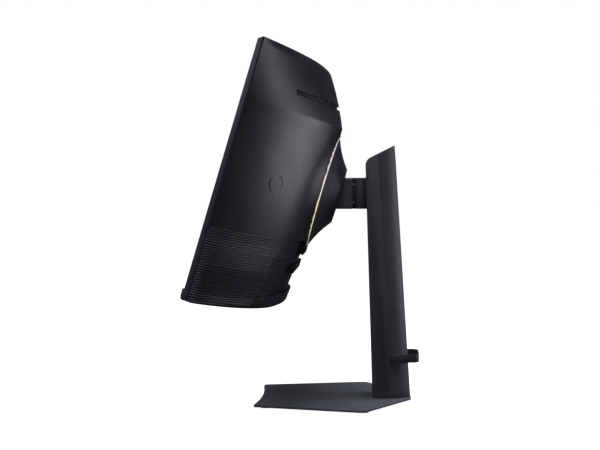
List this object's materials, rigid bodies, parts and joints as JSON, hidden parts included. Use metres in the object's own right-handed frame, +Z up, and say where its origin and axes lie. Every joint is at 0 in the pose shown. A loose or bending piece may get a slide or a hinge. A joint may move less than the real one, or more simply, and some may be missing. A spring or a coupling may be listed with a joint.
{
  "type": "curved desk monitor on stand",
  "caption": "Curved wide desk monitor with a ribbed rear cover and light ring, on a column stand that lifts, swivels and tilts.",
  "frame": {"origin": "on the desk, under the vertical swivel axis", "axes": "+Z up, the screen faces -Y, +X to the right of someone facing the rear"},
  "size_m": [0.709, 0.3783, 0.6195],
  "materials": {
    "moulded_black": "fine texture",
    "ribbed_black": "ribbed",
    "frame_grey": "satin",
    "gloss_black": "polished",
    "painted_grey": "fine powder coat",
    "steel": "milled",
    "zinc": "plated",
    "aluminium": "die cast",
    "spring_steel": "blued",
    "acetal": "moulded",
    "bronze": "sintered",
    "rubber": "moulded",
    "glass": "anti-glare",
    "film": "film",
    "board": "solder mask",
    "lens": "translucent"
  },
  "bodies": {
    "stand": {"base_plate": "painted_grey", "base_feet": "rubber", "base_thumbscrew": "zinc", "column_foot_screws": "zinc", "column_foot_block": "aluminium", "column_shell": "painted_grey", "column_front_cover": "moulded_black", "guide_rail": "steel", "guide_rail_screws": "zinc", "spring_cassette": "steel", "drum_axle": "steel", "cable_clip": "moulded_black", "spring_ribbon": "spring_steel"},
    "spring_drum": {"spring_drum": "acetal"},
    "lift_carriage": {"carriage_block": "aluminium", "glide_pads": "acetal", "swivel_barrel": "painted_grey", "swivel_pin": "steel"},
    "swivel_arm": {"arm_body": "painted_grey", "swivel_bush": "bronze", "tilt_bush": "bronze", "tilt_pin": "steel", "tilt_friction_washers": "spring_steel", "tilt_nuts": "zinc"},
    "display_head": {"hub_mount_plate": "steel", "hub_screws": "zinc", "hub_cover": "moulded_black", "light_ring_lens": "lens", "light_ring_board": "board", "mount_posts": "steel", "rear_shell": "moulded_black", "vent_grille": "gloss_black", "lower_rear_cover": "ribbed_black", "port_hood": "gloss_black", "port_bay": "gloss_black", "hdmi_ports": "zinc", "display_port": "zinc", "usb_ports": "zinc", "headphone_jack": "gloss_black", "power_inlet": "gloss_black", "main_board": "board", "backlight_board": "board", "board_bracket": "steel", "back_tray": "aluminium", "led_bars": "board", "diffuser_plate": "film", "optical_sheets": "film", "lcd_panel": "glass", "middle_frame": "frame_grey", "chin_bezel": "frame_grey", "panel_driver_board": "board", "shell_screws": "zinc", "badge_ring": "zinc", "status_led": "lens", "jog_housing": "moulded_black"},
    "jog_plunger": {"jog_stem": "acetal"},
    "jog_ring": {"jog_gimbal": "acetal"},
    "jog_knob": {"jog_cap": "gloss_black"}
  },
  "joints": [
    {"name": "lift", "type": "slide", "parent": "stand", "child": "lift_carriage", "axis": [0, 0, 1], "range_m": [-0.12, 0], "deforming": ["spring_ribbon"]},
    {"name": "spring_drum_turn", "type": "hinge", "parent": "stand", "child": "spring_drum", "pos_m": [0, 0.038, 0.42], "axis": [1, 0, 0], "range_deg": [-5, 410]},
    {"name": "swivel", "type": "hinge", "parent": "lift_carriage", "child": "swivel_arm", "pos_m": [0, 0, 0.3704], "axis": [0, 0, 1], "range_deg": [-15, 15]},
    {"name": "tilt", "type": "hinge", "parent": "swivel_arm", "child": "display_head", "pos_m": [0, -0.0555, 0.3704], "axis": [1, 0, 0], "range_deg": [-3.4, 21.6]},
    {"name": "jog_press", "type": "slide", "parent": "display_head", "child": "jog_plunger", "axis": [0, 0.2857, 0.9583], "range_m": [0, 0.0008], "stiffness_N_per_m": 900, "springref_m": -0.0006},
    {"name": "jog_fore_aft", "type": "hinge", "parent": "jog_plunger", "child": "jog_ring", "pos_m": [0, -0.17637, 0.18547], "axis": [1, 0, 0], "range_deg": [-5, 5], "stiffness_Nm_per_rad": 0.05},
    {"name": "jog_side", "type": "hinge", "parent": "jog_ring", "child": "jog_knob", "pos_m": [0, -0.17637, 0.18547], "axis": [0, 0.9583, -0.2857], "range_deg": [-5, 5], "stiffness_Nm_per_rad": 0.05}
  ],
  "couplings": [
    {"joint": "spring_drum_turn", "follows": "lift", "rad_per_m": -58.824}
  ]
}
